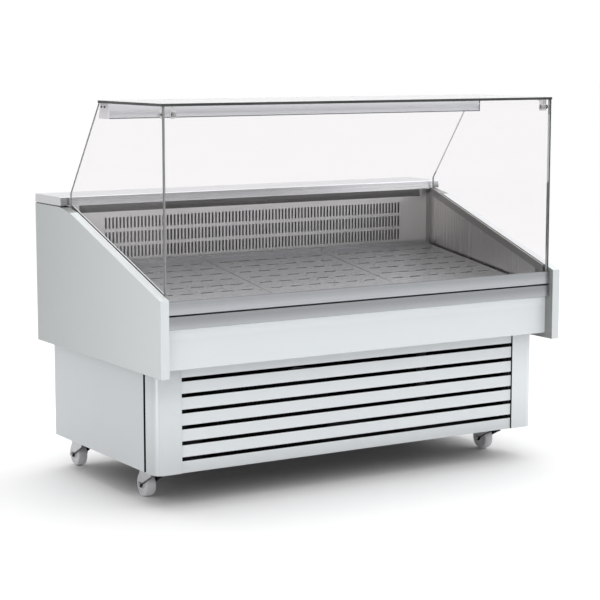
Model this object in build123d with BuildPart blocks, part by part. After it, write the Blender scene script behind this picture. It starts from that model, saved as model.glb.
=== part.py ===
from build123d import *
import os
from math import cos, radians, sin, tan

# Refrigerated display counter for fish, on four swivel casters.
# Millimetres. X runs along the front, the customer's side faces -Y, Z is up.
# The origin lies on the floor under the middle of the counter.

# Overall size
length = 1500
depth = 895
side_thick = 29
side_round = 2
fit = 0.3

# Casters
wheel_dia = 80
wheel_width = 32
wheel_round = 5
wheel_crown = 1.2
hub_dia = 30
hub_length = 36
web_half = 14.5
rim_r = 27
axle_dia = 8
axle_play = 0.05
axle_head_dia = 15
axle_head = 4
fork_sheet = 3
fork_bend = 3
fork_lobe = 11
fork_front = 45
fork_back = 34
fork_skirt = 24
fork_arch = 420
swivel_trail = 30
swivel_rest = 2
race_dia = 54
race_height = 6
king_dia = 12
king_nut_dia = 20
king_nut = 4
plate_length = 100
plate_width = 84
plate_thick = 3.5
plate_round = 8
caster_side_inset = 64
caster_front_inset = 162
caster_rear_inset = 67

# Base cabinet
base_bottom = 106.5
base_setback = 96
base_rear_inset = 68
sheet = 2
post_radius = 32
post_side = 65
post_front = 90
post_flange = 25
seam = 13
base_return = 15
floor_thick = 3
slat_count = 7
slat_pitch = 49
slat_gap = 12.5
slat_recess = 5
slat_depth = 12
slat_play = 1.5
vent_length = 70
vent_height = 6
vent_pitch_x = 90
vent_pitch_z = 20
vent_columns = 5
vent_rows = 6
vent_drop = 92

# Insulated tub
tub_floor = 38
tub_wall = 40
tub_back = 50
skirt_drop = 17
liner = 1.5
liner_joint = 465
joint_width = 8
joint_thick = 1

# Front, from the bottom up
panel_setback = 37
panel_thick = 18
panel_height = 124
panel_round = 3
band_setback = 18
band_height = 40
band_shadow = 4
rail_height = 42
rail_lip = 10
rail_back_height = 20
end_play = 0.5

# Slanted sides and worktop
foot_rise = 6
slope_run = 621.5
slope_rise = 212
seat_rise = 227
shoulder = 10
worktop_depth = 205
worktop_thick = 30
worktop_flare = 4
worktop_lip_gap = 4
worktop_lip = 16
worktop_round = 3
rebate_height = 3
rebate_depth = 6
trim_height = 18
trim_thick = 8
trim_end = 46

# Air grille behind the deck
grille_pitch_x = 13.2
grille_pitch_z = 48.2
grille_slot_width = 6.6
grille_slot_height = 36.7
grille_columns = 89
grille_rows = 3
grille_margin = 27
grille_below_deck = 38

# Removable deck
deck_drop = 49
deck_tilt = 8
deck_sheet = 2
deck_lip = 12
deck_front_gap = 2.5
deck_rear_gap = 6
deck_side_gap = 2
tray_gap = 2
tray_count = 3
deck_slot_length = 44
deck_slot_width = 6
deck_slot_pitch_x = 72
deck_slot_pitch_y = 68
deck_slot_columns = 6
deck_slot_rows = 8
ledge_thick = 3
ledge_width = 32
ledge_height = 34

# Glass canopy
glass = 8
glass_setback = 24.5
canopy_height = 316
top_glass_depth = 432
top_glass_overhang = 5
top_glass_round = 4
side_glass_overhang = 2.5
side_glass_knee = 680
side_glass_knee_height = 42
glass_sink = 22
seat_thick = 5
seat_web = 4
seat_start = 40
clip_thick = 3
clip_width = 14
clip_drop = 36
clip_reach = 15
clip_inset = 36
clip_setback = 17
bolt_drop = 24
bolt_dia = 6
bolt_hole = 7
bolt_head_dia = 14
bolt_head = 4
bolt_head_taper = 32
nut_dia = 11
nut = 4

# Lamp under the top glass
lamp_overhang = 1.5
lamp_top_depth = 56
lamp_bottom_depth = 68
lamp_height = 48
lamp_wall = 2.5
lamp_groove = 3
groove_top = 21
groove_bottom = 6
lamp_cap = 4
lamp_lens = 4

# Cold unit under the deck
evap_length = 1000
evap_depth = 90
evap_height = 120
evap_clear = 10
evap_rear_gap = 16
fin_thick = 2
evap_fins = 40
condenser_fins = 26
evap_fan_dia = 140
evap_fan_spacing = 520
fan_ring = 4
fan_plate_gap = 45
fan_plate_thick = 2
fan_plate_clear = 6
motor_dia = 64
motor_length = 46
motor_bar = 22
motor_bar_thick = 4
fan_spindle = 8
fan_play = 0.05
fan_hub_dia = 42
fan_hub = 24
fan_stand_off = 5
fan_blades = 5
fan_blade_thick = 1.6
fan_blade_pitch = 28
fan_blade_root = 6
fan_blade_root_half = 16
fan_blade_tip_half = 22
fin_reach = 8
drain_dia = 32
drain_wall = 2
drain_flange_dia = 64
drain_flange = 2
drain_play = 0.2
drain_inset = 330
drain_setback = 330

# Condensing unit in the base
condenser_x = -300
condenser_width = 380
condenser_height = 250
condenser_depth = 60
condenser_setback = 20
shroud_depth = 30
condenser_fan_dia = 220
condenser_motor_dia = 90
condenser_motor_length = 60
bracket_width = 70
bracket_thick = 3
bracket_foot = 60
compressor_x = 60
compressor_setback = 420
compressor_dia = 170
compressor_height = 190
compressor_foot = 200
compressor_foot_thick = 4
compressor_foot_round = 20
shell_round = 20
shell_crown = 60
tray_length = 300
tray_depth = 240
tray_height = 50

# Operator's switch, at the back
control_inset = 270
control_width = 180
control_height = 64
control_depth = 26
control_recess = 6
control_drop = 34
control_play = 0.3
rocker_width = 20
rocker_radius = 9
rocker_play = 0.4
rocker_throw = 16
rocker_offset = 50
rocker_sink = 3
rocker_crest = 6.5
rocker_brow = 0.75
display_width = 70
display_height = 28
display_sink = 1

# Levels and lines that follow from the sizes above
half = length / 2
inside = half - side_thick
front_y = -depth / 2
rear_y = depth / 2
wheel_r = wheel_dia / 2
drain_x = half - drain_inset
control_x = half - control_inset
base_top = base_bottom + slat_count * slat_pitch - slat_gap
base_front = front_y + base_setback
base_rear = rear_y - base_rear_inset
slat_height = slat_pitch - slat_gap
post_x = inside - post_front
slat_front = base_front + slat_recess
slat_back = slat_front + slat_depth
side_bottom = base_top - skirt_drop
panel_y = front_y + panel_setback
band_y = front_y + band_setback
tub_front = panel_y + panel_thick
tub_inner = tub_front + tub_wall
tub_rear = rear_y - tub_back
tub_deck = base_top + tub_floor
panel_top = base_top + panel_height
band_top = panel_top + band_height
rail_bottom = band_top + band_shadow
rail_top = rail_bottom + rail_height
slope_foot = rail_top + foot_rise
slope_head = slope_foot + slope_rise
worktop_seat = slope_foot + seat_rise
worktop_top = worktop_seat + worktop_thick
worktop_front = rear_y - worktop_depth
canopy_top = worktop_top + canopy_height
canopy_under = canopy_top - glass
glass_y = front_y + glass_setback
glass_back = glass_y + glass
top_glass_rear = glass_y + top_glass_depth
grille_y = worktop_front + worktop_lip
bar_half = inside - end_play
glass_x = inside - fit
glass_in = glass_x - glass
seat_in = glass_in - fit - seat_web
deck_y = tub_inner + deck_front_gap
deck_end = worktop_front - deck_rear_gap
deck_z = rail_top - deck_drop
deck_half = seat_in - deck_side_gap
bolt_z = canopy_under - fit - bolt_drop

os.makedirs("parts", exist_ok=True)


def save(piece, name):
    """Name a finished piece and write it."""
    piece.label = name
    export_step(piece, f"parts/{name}.step")


def slope_z(y):
    """Height of the slanted edge of a side panel."""
    return slope_foot + (y - front_y) * slope_rise / slope_run


def deck_height(y):
    """Height of the upper face of the deck."""
    return deck_z + (y - deck_y) * tan(radians(deck_tilt))


def bar(x0, x1, *points):
    """Straight bar along X with a cross-section given in (y, z)."""
    with BuildPart() as piece:
        with BuildSketch(Plane.YZ.offset(x0)):
            with BuildLine():
                Polyline(*points, close=True)
            make_face()
        extrude(amount=x1 - x0)
    return piece.part


def block(x0, x1, y0, y1, z0, z1):
    """Square block between two corners."""
    return bar(x0, x1, (y0, z0), (y1, z0), (y1, z1), (y0, z1))


def outer_face(piece, sign):
    """The face of a piece that lies furthest out to one side."""
    return piece.faces().sort_by(lambda face: sign * face.center().X)[-1]


# Side panels with the slanted upper edge
for side, sign in (("left", -1), ("right", 1)):
    with BuildPart() as side_panel:
        with BuildSketch(Plane.YZ.offset(sign * inside)):
            with BuildLine():
                Polyline(
                    (front_y, side_bottom),
                    (front_y, slope_foot),
                    (front_y + slope_run, slope_head),
                    (worktop_front + shoulder, worktop_seat),
                    (rear_y, worktop_seat),
                    (rear_y, side_bottom),
                    close=True,
                )
            make_face()
        extrude(amount=sign * side_thick)
        fillet(outer_face(side_panel, sign).edges(), side_round)
    save(side_panel.part, f"side_panel_{side}")

# Base cabinet: floor, side trays, rounded corner posts, vented back and louvre slats
base_floor_top = base_bottom + floor_thick
floor_half = inside - base_return
post_back = base_front + post_side
side_front = post_back + seam

save(
    block(-floor_half, floor_half, slat_back + sheet, base_rear - sheet, base_bottom, base_floor_top),
    "base_floor",
)

for side, sign in (("left", -1), ("right", 1)):
    with BuildPart() as base_side:
        with BuildSketch(Plane.YZ.offset(sign * floor_half)):
            with Locations((side_front, base_bottom)):
                Rectangle(base_rear - side_front, base_top - base_bottom, align=(Align.MIN, Align.MIN))
        extrude(amount=sign * base_return)
        offset(amount=-sheet, openings=outer_face(base_side, -sign))
    save(base_side.part, f"base_side_{side}")

with BuildPart() as corner_post:
    with BuildSketch(Plane.XY.offset(base_bottom)):
        bend = (inside - post_radius, base_front + post_radius)
        with BuildLine():
            CenterArc(bend, post_radius, 0, -90)
            Polyline(
                (bend[0], base_front),
                (post_x, base_front),
                (post_x, slat_back),
                (post_x - post_flange, slat_back),
                (post_x - post_flange, slat_back + sheet),
                (post_x + sheet, slat_back + sheet),
                (post_x + sheet, base_front + sheet),
                (bend[0], base_front + sheet),
            )
            CenterArc(bend, post_radius - sheet, -90, 90)
            Polyline(
                (inside - sheet, bend[1]),
                (inside - sheet, post_back),
                (inside, post_back),
                (inside, bend[1]),
            )
        make_face()
    extrude(amount=base_top - base_bottom)
save(corner_post.part, "corner_post_right")
save(mirror(corner_post.part, about=Plane.YZ), "corner_post_left")

with BuildPart() as base_back:
    with BuildSketch(Plane.XZ.offset(-base_rear)):
        with Locations((0, base_bottom)):
            Rectangle(2 * floor_half, base_top - base_bottom, align=(Align.CENTER, Align.MIN))
        with Locations(*[(sign * condenser_x, base_top - vent_drop) for sign in (-1, 1)]):
            with GridLocations(vent_pitch_x, vent_pitch_z, vent_columns, vent_rows):
                Rectangle(vent_length, vent_height, mode=Mode.SUBTRACT)
    extrude(amount=sheet)
save(base_back.part, "base_back")

with BuildPart() as louvre_slats:
    slat_spots = [(slat_front, base_bottom + row * slat_pitch) for row in range(slat_count)]
    with BuildSketch(Plane.YZ.offset(-(post_x - slat_play))):
        with Locations(*slat_spots):
            Rectangle(slat_depth, slat_height, align=(Align.MIN, Align.MIN))
        with Locations(*[(y + sheet, z + sheet) for y, z in slat_spots]):
            Rectangle(slat_depth, slat_height - 2 * sheet, align=(Align.MIN, Align.MIN), mode=Mode.SUBTRACT)
    extrude(amount=2 * (post_x - slat_play))
save(louvre_slats.part, "louvre_slats")

# Insulated tub: floor with its drain, front wall and back wall with the switch pocket
drain_y = front_y + drain_setback

with BuildPart() as tank_floor:
    with BuildSketch(Plane.XY.offset(base_top)):
        with Locations((0, tub_front)):
            Rectangle(2 * inside, tub_rear - tub_front, align=(Align.CENTER, Align.MIN))
        with Locations((drain_x, drain_y)):
            Circle(drain_dia / 2 + drain_play, mode=Mode.SUBTRACT)
    extrude(amount=tub_floor)
save(tank_floor.part, "tank_floor")

save(block(-inside, inside, tub_front, tub_inner, tub_deck, rail_bottom), "tank_front")

control_z = worktop_seat - control_drop - control_height / 2
control_face = rear_y - control_recess

with BuildPart() as tank_back:
    with BuildSketch(Plane.YZ.offset(-inside)):
        with Locations((tub_rear, base_top)):
            Rectangle(tub_back, worktop_seat - base_top, align=(Align.MIN, Align.MIN))
    extrude(amount=2 * inside)
    with BuildSketch(Plane.XZ.offset(-rear_y)):
        with Locations((control_x, control_z)):
            Rectangle(control_width, control_height)
    extrude(amount=control_recess + control_depth, mode=Mode.SUBTRACT)
save(tank_back.part, "tank_back")

drain_end = base_floor_top + tray_height / 2

with BuildPart() as drain_spigot:
    with BuildSketch(Plane.XY.offset(tub_deck)):
        with Locations((drain_x, drain_y)):
            Circle(drain_flange_dia / 2)
    extrude(amount=drain_flange)
    with BuildSketch(Plane.XY.offset(drain_end)):
        with Locations((drain_x, drain_y)):
            Circle(drain_dia / 2)
    extrude(amount=tub_deck - drain_end)
    with BuildSketch(Plane.XY.offset(drain_end)):
        with Locations((drain_x, drain_y)):
            Circle(drain_dia / 2 - drain_wall)
    extrude(amount=tub_deck + drain_flange - drain_end, mode=Mode.SUBTRACT)
save(drain_spigot.part, "drain_spigot")

under_seat = glass_sink + seat_thick + fit


def liner_sheet(x0, x1, y0, y1):
    """Sheet on a side of the well, from the tub's floor up to the glass seat."""
    return bar(
        x0,
        x1,
        (y0, tub_deck),
        (y1, tub_deck),
        (y1, slope_z(y1) - under_seat),
        (y0, slope_z(y0) - under_seat),
    )


for side, sign in (("left", -1), ("right", 1)):
    liner_in = inside - liner
    joint_y = front_y + liner_joint
    skin = liner_sheet(sign * liner_in, sign * inside, tub_inner, grille_y)
    strip = liner_sheet(sign * (liner_in - joint_thick), sign * liner_in, joint_y, joint_y + joint_width)
    save(skin + strip, f"side_liner_{side}")

# Front: white panel, lower steel band and upper rail that carries the front glass
with BuildPart() as front_panel:
    with BuildSketch(Plane.XZ.offset(-panel_y)):
        with Locations((0, base_top)):
            Rectangle(2 * bar_half, panel_height, align=(Align.CENTER, Align.MIN))
    extrude(amount=-panel_thick)
    fillet(front_panel.faces().sort_by(Axis.Y)[0].edges().filter_by(Axis.X), panel_round)
save(front_panel.part, "front_panel")

with BuildPart() as front_band:
    with BuildSketch(Plane.XZ.offset(-band_y)):
        with Locations((0, panel_top)):
            Rectangle(2 * bar_half, band_height, align=(Align.CENTER, Align.MIN))
    extrude(amount=band_y - tub_front)
    fillet(front_band.faces().sort_by(Axis.Y)[0].edges().filter_by(Axis.X), panel_round)
save(front_band.part, "front_band")

with BuildPart() as front_rail:
    glass_ledge = rail_top - rail_lip
    with BuildSketch(Plane.YZ.offset(-bar_half)):
        with BuildLine():
            Polyline(
                (band_y, rail_bottom),
                (band_y, rail_top),
                (glass_y - fit, rail_top),
                (glass_y - fit, glass_ledge),
                (front_y + seat_start, glass_ledge),
                (tub_inner, rail_bottom + rail_back_height),
                (tub_inner, rail_bottom),
                close=True,
            )
        make_face()
    extrude(amount=2 * bar_half)
    fillet(front_rail.faces().sort_by(Axis.Y)[0].edges().filter_by(Axis.X), panel_round)
save(front_rail.part, "front_rail")

# Worktop, the dark strip under its edge and the slotted air grille
with BuildPart() as worktop:
    with BuildSketch(Plane.YZ.offset(-half)):
        with BuildLine():
            Polyline(
                (worktop_front, worktop_seat + worktop_lip_gap),
                (worktop_front + worktop_flare, worktop_top),
                (rear_y - worktop_flare, worktop_top),
                (rear_y, worktop_seat),
                (grille_y, worktop_seat),
                (grille_y, worktop_seat + worktop_lip_gap),
                close=True,
            )
        make_face()
    extrude(amount=length)
    fillet(worktop.faces().sort_by(Axis.Z)[-1].edges().filter_by(Axis.X), worktop_round)
    with BuildSketch(Plane.YZ.offset(half)):
        with Locations((worktop_front, worktop_seat)):
            Rectangle(worktop_depth, rebate_height, align=(Align.MIN, Align.MIN))
    extrude(amount=-rebate_depth, mode=Mode.SUBTRACT)
    with BuildSketch(Plane.YZ.offset(-half)):
        with Locations((worktop_front, worktop_seat)):
            Rectangle(worktop_depth, rebate_height, align=(Align.MIN, Align.MIN))
    extrude(amount=rebate_depth, mode=Mode.SUBTRACT)
save(worktop.part, "worktop")

trim_half = inside - trim_end
trim_y = grille_y + liner
save(
    block(-trim_half, trim_half, trim_y, trim_y + trim_thick, worktop_seat - trim_height, worktop_seat),
    "worktop_trim",
)

grille_bottom = deck_height(deck_end) - grille_below_deck
grille_span = (grille_rows - 1) * grille_pitch_z + grille_slot_height
grille_middle = worktop_seat - trim_height - grille_margin - grille_span / 2

with BuildPart() as air_grille:
    with BuildSketch(Plane.XZ.offset(-grille_y)):
        with Locations((0, grille_bottom)):
            Rectangle(2 * bar_half, worktop_seat - grille_bottom, align=(Align.CENTER, Align.MIN))
        with Locations((0, worktop_seat)):
            Rectangle(2 * trim_half, trim_height, align=(Align.CENTER, Align.MAX), mode=Mode.SUBTRACT)
        with Locations((0, grille_middle)):
            with GridLocations(grille_pitch_x, grille_pitch_z, grille_columns, grille_rows):
                Rectangle(grille_slot_width, grille_slot_height, mode=Mode.SUBTRACT)
    extrude(amount=-liner)
save(air_grille.part, "air_grille")


# Deck: three lift-out trays on a front and a rear ledge
def ledge_top(y):
    """Height of a ledge under the deck."""
    return deck_height(y) - deck_sheet - fit


front_ledge_end = tub_inner + ledge_width
save(
    bar(
        -deck_half,
        deck_half,
        (tub_inner, ledge_top(tub_inner)),
        (front_ledge_end, ledge_top(front_ledge_end)),
        (front_ledge_end, ledge_top(front_ledge_end) - ledge_thick),
        (tub_inner + ledge_thick, ledge_top(tub_inner + ledge_thick) - ledge_thick),
        (tub_inner + ledge_thick, ledge_top(tub_inner) - ledge_height),
        (tub_inner, ledge_top(tub_inner) - ledge_height),
    ),
    "deck_ledge_front",
)

rear_ledge_start = deck_end - ledge_width
save(
    bar(
        -deck_half,
        deck_half,
        (grille_y, ledge_top(grille_y)),
        (rear_ledge_start, ledge_top(rear_ledge_start)),
        (rear_ledge_start, ledge_top(rear_ledge_start) - ledge_thick),
        (grille_y - ledge_thick, ledge_top(grille_y - ledge_thick) - ledge_thick),
        (grille_y - ledge_thick, ledge_top(grille_y) - ledge_height),
        (grille_y, ledge_top(grille_y) - ledge_height),
    ),
    "deck_ledge_rear",
)

tray_width = (2 * deck_half - (tray_count - 1) * tray_gap) / tray_count
tray_run = (deck_end - deck_y) / cos(radians(deck_tilt))
deck_up = (0, -sin(radians(deck_tilt)), cos(radians(deck_tilt)))

for place, name in enumerate(("left", "middle", "right")):
    tray_x = (place - (tray_count - 1) / 2) * (tray_width + tray_gap)
    deck_plane = Plane(origin=(tray_x, deck_y, deck_z), x_dir=(1, 0, 0), z_dir=deck_up)
    with BuildPart() as deck_tray:
        with BuildSketch(deck_plane):
            Rectangle(tray_width, tray_run, align=(Align.CENTER, Align.MIN))
            with Locations((0, tray_run / 2)):
                with GridLocations(deck_slot_pitch_x, deck_slot_pitch_y, deck_slot_columns, deck_slot_rows):
                    Rectangle(deck_slot_length, deck_slot_width, mode=Mode.SUBTRACT)
        extrude(amount=-deck_sheet)
        with BuildSketch(deck_plane):
            with Locations((0, 0), (0, tray_run - deck_sheet)):
                Rectangle(tray_width, deck_sheet, align=(Align.CENTER, Align.MIN))
        extrude(amount=deck_lip)
    save(deck_tray.part, f"deck_tray_{name}")

# Glass canopy: seats along the slopes, two side glasses, front glass and top glass
knee_y = front_y + side_glass_knee
seat_y = front_y + seat_start
side_clip_y = glass_back + clip_setback
front_clip_x = glass_x - clip_inset

for side, sign in (("left", -1), ("right", 1)):
    with BuildPart() as glass_seat:
        with BuildSketch(Plane.YZ.offset(sign * inside)):
            with BuildLine():
                Polyline(
                    (seat_y, slope_z(seat_y) - glass_sink),
                    (knee_y, slope_z(knee_y) - glass_sink),
                    (knee_y, slope_z(knee_y) - glass_sink - seat_thick),
                    (seat_y, slope_z(seat_y) - glass_sink - seat_thick),
                    close=True,
                )
            make_face()
        extrude(amount=sign * (seat_in - inside))
        with BuildSketch(Plane.YZ.offset(sign * seat_in)):
            with BuildLine():
                Polyline(
                    (seat_y, slope_z(seat_y)),
                    (knee_y, slope_z(knee_y)),
                    (knee_y, slope_z(knee_y) - glass_sink),
                    (seat_y, slope_z(seat_y) - glass_sink),
                    close=True,
                )
            make_face()
        extrude(amount=sign * seat_web)
    save(glass_seat.part, f"glass_seat_{side}")

    with BuildPart() as side_glass:
        glass_start = glass_back + fit
        with BuildSketch(Plane.YZ.offset(sign * glass_in)):
            with BuildLine():
                Polyline(
                    (glass_start, slope_z(seat_y) - glass_sink),
                    (glass_start, canopy_under),
                    (top_glass_rear + side_glass_overhang, canopy_under),
                    (knee_y, worktop_seat + side_glass_knee_height),
                    (knee_y, slope_z(knee_y) - glass_sink),
                    (seat_y, slope_z(seat_y) - glass_sink),
                    close=True,
                )
            make_face()
            with Locations((side_clip_y, bolt_z)):
                Circle(bolt_hole / 2, mode=Mode.SUBTRACT)
        extrude(amount=sign * glass)
    save(side_glass.part, f"side_glass_{side}")

with BuildPart() as front_glass:
    with BuildSketch(Plane.XZ.offset(-glass_y)):
        with Locations((0, glass_ledge)):
            Rectangle(2 * glass_x, canopy_under - glass_ledge, align=(Align.CENTER, Align.MIN))
        with Locations((-front_clip_x, bolt_z), (front_clip_x, bolt_z)):
            Circle(bolt_hole / 2, mode=Mode.SUBTRACT)
    extrude(amount=-glass)
save(front_glass.part, "front_glass")

with BuildPart() as top_glass:
    with BuildSketch(Plane.XY.offset(canopy_under)):
        with Locations((0, glass_y)):
            Rectangle(2 * (inside + top_glass_overhang), top_glass_depth, align=(Align.CENTER, Align.MIN))
        fillet(vertices(), top_glass_round)
    extrude(amount=glass)
save(top_glass.part, "top_glass")

# Corner clips inside the canopy: each hangs under the top glass and is bolted through a wall
clip_planes = []
clip_top = canopy_under - fit
clip_side_x = glass_in - fit
for sign in (-1, 1):
    clip_planes.append(Plane((sign * front_clip_x, glass_back + fit, clip_top), (1, 0, 0), (0, 1, 0)))
    clip_planes.append(Plane((sign * clip_side_x, side_clip_y, clip_top), (0, sign, 0), (-sign, 0, 0)))

with BuildPart() as glass_clips:
    for wall in clip_planes:
        with BuildSketch(wall):
            with Locations((0, clip_drop / 2)):
                Rectangle(clip_width, clip_drop)
            with Locations((0, bolt_drop)):
                Circle(bolt_hole / 2, mode=Mode.SUBTRACT)
        extrude(amount=clip_thick)
        with BuildSketch(wall):
            with Locations((0, clip_thick / 2)):
                Rectangle(clip_width, clip_thick)
        extrude(amount=clip_reach)
save(glass_clips.part, "glass_clips")

with BuildPart() as glass_bolts:
    grip = glass + fit
    for wall in clip_planes:
        for start, dia, reach, taper in (
            (-grip, bolt_head_dia, -bolt_head, bolt_head_taper),
            (-grip, bolt_dia, grip + clip_thick + nut, 0),
            (clip_thick, nut_dia, nut, 0),
        ):
            with BuildSketch(wall.offset(start)):
                with Locations((0, bolt_drop)):
                    Circle(dia / 2)
            extrude(amount=reach, taper=taper)
save(glass_bolts.part, "glass_bolts")

# Lamp: an aluminium channel with a lens below and a cap at each end
lamp_top = canopy_under - fit
lamp_bottom = lamp_top - lamp_height
lamp_y = top_glass_rear + lamp_overhang - lamp_top_depth
lamp_end = glass_in - fit
lamp_half = lamp_end - lamp_cap


def lamp_rear(z, inset=0):
    """Slanted rear wall of the lamp."""
    share = (lamp_top - z) / lamp_height
    return lamp_y + lamp_top_depth + share * (lamp_bottom_depth - lamp_top_depth) - inset


lamp_outline = [
    (lamp_y, lamp_bottom),
    (lamp_y, lamp_top),
    (lamp_rear(lamp_top), lamp_top),
    (lamp_rear(lamp_bottom), lamp_bottom),
]
lamp_ceiling = lamp_top - lamp_wall
lamp_inner = lamp_y + lamp_wall + lamp_groove

with BuildPart() as lamp_housing:
    with BuildSketch(Plane.YZ.offset(-lamp_half)):
        with BuildLine():
            Polyline(*lamp_outline, close=True)
        make_face()
        with BuildLine():
            Polyline(
                (lamp_inner, lamp_bottom),
                (lamp_inner, lamp_ceiling),
                (lamp_rear(lamp_ceiling, lamp_wall), lamp_ceiling),
                (lamp_rear(lamp_bottom, lamp_wall), lamp_bottom),
                close=True,
            )
        make_face(mode=Mode.SUBTRACT)
        with BuildLine():
            Polyline(
                (lamp_y, lamp_bottom + groove_top),
                (lamp_y + lamp_groove, lamp_bottom + groove_bottom + lamp_groove),
                (lamp_y + lamp_groove, lamp_bottom + groove_bottom),
                (lamp_y, lamp_bottom + groove_bottom),
                close=True,
            )
        make_face(mode=Mode.SUBTRACT)
    extrude(amount=2 * lamp_half)
save(lamp_housing.part, "lamp_housing")

lens_gap = lamp_wall + fit
save(
    bar(
        -lamp_half,
        lamp_half,
        (lamp_inner + fit, lamp_bottom),
        (lamp_inner + fit, lamp_bottom + lamp_lens),
        (lamp_rear(lamp_bottom + lamp_lens, lens_gap), lamp_bottom + lamp_lens),
        (lamp_rear(lamp_bottom, lens_gap), lamp_bottom),
    ),
    "lamp_diffuser",
)

with BuildPart() as lamp_caps:
    for start in (-lamp_end, lamp_half):
        with BuildSketch(Plane.YZ.offset(start)):
            with BuildLine():
                Polyline(*lamp_outline, close=True)
            make_face()
        extrude(amount=lamp_cap)
save(lamp_caps.part, "lamp_caps")


def finned_coil(middle_x, size_x, y0, size_y, z0, size_z, fins, feet):
    """Coil of sheet fins on a core, with end plates that stand on feet."""
    with BuildPart() as coil:
        with BuildSketch(Plane.YZ.offset(middle_x - size_x / 2)):
            with Locations((y0 + size_y / 2, z0 + size_z / 2)):
                Rectangle(size_y - 2 * fin_reach, size_z - 2 * fin_reach)
        extrude(amount=size_x)
        step = (size_x - fin_thick) / (fins + 1)
        for place in range(fins + 2):
            low = z0 - feet if place in (0, fins + 1) else z0
            with BuildSketch(Plane.YZ.offset(middle_x - size_x / 2 + place * step)):
                with Locations((y0, low)):
                    Rectangle(size_y, z0 + size_z - low, align=(Align.MIN, Align.MIN))
            extrude(amount=fin_thick)
    return coil.part


def fan(hub_plane, dia):
    """Axial fan whose hub turns on a fixed spindle; the plane is its front, facing along the axis."""
    bore = fan_spindle / 2 + fan_play
    axis = hub_plane.z_dir
    middle = hub_plane.origin + axis * (fan_hub / 2)
    root = fan_hub_dia / 2 - fan_blade_root
    with BuildPart() as rotor:
        with BuildSketch(hub_plane):
            Circle(fan_hub_dia / 2)
        extrude(amount=fan_hub)
        for blade in range(fan_blades):
            radial = hub_plane.x_dir.rotate(Axis((0, 0, 0), axis), blade * 360 / fan_blades)
            normal = axis.rotate(Axis((0, 0, 0), radial), fan_blade_pitch)
            with BuildSketch(Plane(middle, radial, normal)):
                with BuildLine():
                    Polyline(
                        (root, -fan_blade_root_half),
                        (dia / 2 - fan_blade_root, -fan_blade_tip_half),
                        (dia / 2, 0),
                        (dia / 2 - fan_blade_root, fan_blade_tip_half),
                        (root, fan_blade_root_half),
                        close=True,
                    )
                make_face()
            extrude(amount=fan_blade_thick / 2, both=True)
        with BuildSketch(hub_plane):
            Circle(bore)
        extrude(amount=fan_hub, mode=Mode.SUBTRACT)
    return rotor.part


# Cold unit under the deck: evaporator, fan plate, two fan motors and their fans
evap_y = grille_y - evap_rear_gap - evap_depth
evap_z = tub_deck + evap_clear
save(
    finned_coil(0, evap_length, evap_y, evap_depth, evap_z, evap_height, evap_fins, evap_clear),
    "evaporator_coil",
)

plate_y = evap_y - fan_plate_gap
fan_plate_top = ledge_top(plate_y) - fan_plate_clear
fan_z = (tub_deck + fan_plate_top) / 2
fan_spots = [-evap_fan_spacing / 2, evap_fan_spacing / 2]
fan_hole = evap_fan_dia / 2 + fan_ring

with BuildPart() as fan_plate:
    with BuildSketch(Plane.XZ.offset(-plate_y)):
        with Locations((0, tub_deck)):
            Rectangle(
                2 * (inside - liner - fit),
                fan_plate_top - tub_deck,
                align=(Align.CENTER, Align.MIN),
            )
        with Locations(*[(x, fan_z) for x in fan_spots]):
            Circle(fan_hole, mode=Mode.SUBTRACT)
    extrude(amount=-fan_plate_thick)
save(fan_plate.part, "fan_plate")

with BuildPart() as fan_motors:
    for x in fan_spots:
        with BuildSketch(Plane.XZ.offset(-plate_y)):
            with Locations((x, fan_z)):
                Rectangle(2 * fan_hole + 2 * motor_bar, motor_bar)
        extrude(amount=motor_bar_thick)
        with BuildSketch(Plane.XZ.offset(motor_bar_thick - plate_y)):
            with Locations((x, fan_z)):
                Circle(motor_dia / 2)
        extrude(amount=motor_length)
        with BuildSketch(Plane.XZ.offset(-plate_y)):
            with Locations((x, fan_z)):
                Circle(fan_spindle / 2)
        extrude(amount=-(fan_plate_thick + fan_stand_off + fan_hub))
save(fan_motors.part, "fan_motors")

for side, x in zip(("left", "right"), fan_spots):
    hub_y = plate_y + fan_plate_thick + fan_stand_off
    save(fan(Plane((x, hub_y, fan_z), (1, 0, 0), (0, 1, 0)), evap_fan_dia), f"evaporator_fan_{side}")

# Condensing unit in the base: coil, fan cowl, fan and motor, compressor and melt-water tray
condenser_y = slat_back + condenser_setback
cowl_y = condenser_y + condenser_depth
cowl_back = cowl_y + shroud_depth
condenser_z = base_floor_top + condenser_height / 2
save(
    finned_coil(
        condenser_x,
        condenser_width,
        condenser_y,
        condenser_depth,
        base_floor_top,
        condenser_height,
        condenser_fins,
        0,
    ),
    "condenser_coil",
)

with BuildPart() as condenser_shroud:
    with BuildSketch(Plane.XZ.offset(-cowl_y)):
        with Locations((condenser_x, condenser_z)):
            Rectangle(condenser_width, condenser_height)
    extrude(amount=-shroud_depth)
    offset(amount=-sheet, openings=condenser_shroud.faces().sort_by(Axis.Y)[0])
    with BuildSketch(Plane.XZ.offset(-cowl_back)):
        with Locations((condenser_x, condenser_z)):
            Circle(condenser_fan_dia / 2 + fan_ring)
    extrude(amount=sheet, mode=Mode.SUBTRACT)
save(condenser_shroud.part, "condenser_shroud")

condenser_hub = cowl_back + fan_stand_off
save(
    fan(Plane((condenser_x, condenser_hub, condenser_z), (1, 0, 0), (0, 1, 0)), condenser_fan_dia),
    "condenser_fan",
)

motor_front = condenser_hub + fan_hub + fan_stand_off
motor_back = motor_front + condenser_motor_length

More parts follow.
